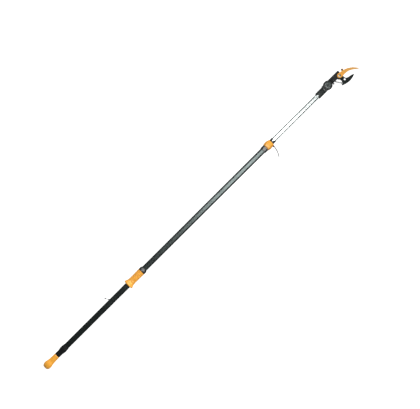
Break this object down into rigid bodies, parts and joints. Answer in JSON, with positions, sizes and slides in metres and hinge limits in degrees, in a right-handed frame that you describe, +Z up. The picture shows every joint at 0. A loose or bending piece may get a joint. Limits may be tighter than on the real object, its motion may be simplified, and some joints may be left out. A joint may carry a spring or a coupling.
{
  "type": "telescoping pole pruner",
  "caption": "Long two-tube pole with a sliding handle, a lever clamp and a tilting bypass cutting head for branches.",
  "frame": {"origin": "on the floor, at the middle of the rest pad under the telescope clamp", "axes": "+X along the pole towards the cutting head, +Z up, jaws open towards -Y"},
  "size_m": [2.3955, 0.1308, 0.0564],
  "materials": {
    "black_anodised_tube": "satin black anodised",
    "silver_anodised_tube": "satin clear anodised",
    "orange_plastic": "fine moulded grain",
    "orange_painted_steel": "semi-gloss paint",
    "black_plastic": "moulded, matte",
    "grey_plastic": "moulded, satin",
    "coated_blade_steel": "low-friction black coating",
    "bright_steel": "zinc plated",
    "strap_webbing": "woven strap"
  },
  "bodies": {
    "pole": {"outer_tube": "black_anodised_tube", "end_cap": "black_plastic", "end_cap_screw": "bright_steel", "stop_bush": "grey_plastic", "stop_rivet": "bright_steel", "lock_pin_bush": "black_plastic", "clamp_sleeve": "black_plastic", "clamp_body": "orange_plastic", "clamp_collet": "black_plastic", "clamp_bolt": "coated_blade_steel", "clamp_nut": "bright_steel"},
    "handle": {"slide_handle": "orange_plastic", "handle_collar": "black_plastic", "collar_screw": "bright_steel", "handle_screw_rear": "bright_steel", "handle_screw_front": "bright_steel", "shuttle": "grey_plastic"},
    "pull_knob": {"end_knob": "orange_plastic", "cord_ferrule": "bright_steel", "pull_cord": "strap_webbing"},
    "clamp_lever": {"clamp_lever": "black_plastic"},
    "lock_pin": {"lock_pin": "coated_blade_steel"},
    "inner_pole": {"inner_tube": "silver_anodised_tube", "inner_tube_bush": "grey_plastic", "tilt_fork": "grey_plastic", "socket_screw": "bright_steel"},
    "drive_strap": {"pole_strap": "strap_webbing"},
    "head": {"head_casing_lower": "black_plastic", "head_casing_upper": "black_plastic", "casing_screw_1": "bright_steel", "casing_screw_2": "bright_steel", "casing_screw_3": "bright_steel", "drum_axle": "bright_steel", "pivot_bolt": "bright_steel", "pivot_nut": "bright_steel", "hook_jaw": "orange_painted_steel", "hook_stud": "coated_blade_steel", "head_strap": "strap_webbing", "spring_post_head": "bright_steel", "tilt_bolt": "coated_blade_steel", "pulley_spacer": "grey_plastic", "return_spring": "bright_steel"},
    "blade": {"blade": "coated_blade_steel", "spring_post_blade": "bright_steel"},
    "drum": {"strap_drum": "grey_plastic"},
    "guide_pulley": {"guide_pulley": "grey_plastic"},
    "tilt_knob": {"tilt_knob": "grey_plastic"}
  },
  "joints": [
    {"name": "telescope", "type": "slide", "parent": "pole", "child": "inner_pole", "axis": [1, 0, 0], "range_m": [0, 0.8]},
    {"name": "handle_slide", "type": "slide", "parent": "pole", "child": "handle", "axis": [-1, 0, 0], "range_m": [0, 0.0623], "stiffness_N_per_m": 60, "springref_m": -0.05},
    {"name": "end_knob_pull", "type": "slide", "parent": "pole", "child": "pull_knob", "axis": [-1, 0, 0], "range_m": [0, 0.0625]},
    {"name": "clamp_lever_turn", "type": "hinge", "parent": "pole", "child": "clamp_lever", "pos_m": [0.017, -0.0245, 0.028], "axis": [0, 0, 1], "range_deg": [-70, 10]},
    {"name": "lock_pin_push", "type": "slide", "parent": "pole", "child": "lock_pin", "axis": [0.5, -0.866, 0], "range_m": [0, 0.003]},
    {"name": "drive_strap_slide", "type": "slide", "parent": "inner_pole", "child": "drive_strap", "axis": [-1, 0, 0], "range_m": [0, 0.0625]},
    {"name": "head_tilt", "type": "hinge", "parent": "inner_pole", "child": "head", "pos_m": [0.466, 0.0026, 0.028], "axis": [0, 0, 1], "range_deg": [-90, 75], "deforming": ["head_strap"]},
    {"name": "tilt_knob_turn", "type": "hinge", "parent": "head", "child": "tilt_knob", "pos_m": [0.466, 0.0026, 0.028], "axis": [0, 0, 1], "range_deg": [0, 180]},
    {"name": "blade_pivot", "type": "hinge", "parent": "head", "child": "blade", "pos_m": [0.55, -0.005, 0.028], "axis": [0, 0, 1], "range_deg": [0, 42.2], "deforming": ["return_spring"]},
    {"name": "strap_drum_turn", "type": "hinge", "parent": "head", "child": "drum", "pos_m": [0.52488, 0.0062, 0.028], "axis": [0, 0, 1], "range_deg": [-289, 0]},
    {"name": "guide_pulley_turn", "type": "hinge", "parent": "head", "child": "guide_pulley", "pos_m": [0.466, 0.0026, 0.028], "axis": [0, 0, 1], "range_deg": [-407, 0]}
  ],
  "couplings": [
    {"joint": "end_knob_pull", "follows": "handle_slide", "ratio": 1},
    {"joint": "drive_strap_slide", "follows": "handle_slide", "ratio": 1},
    {"joint": "blade_pivot", "follows": "handle_slide", "rad_per_m": 11.761},
    {"joint": "strap_drum_turn", "follows": "handle_slide", "rad_per_m": -80.645},
    {"joint": "guide_pulley_turn", "follows": "handle_slide", "rad_per_m": -113.64}
  ]
}
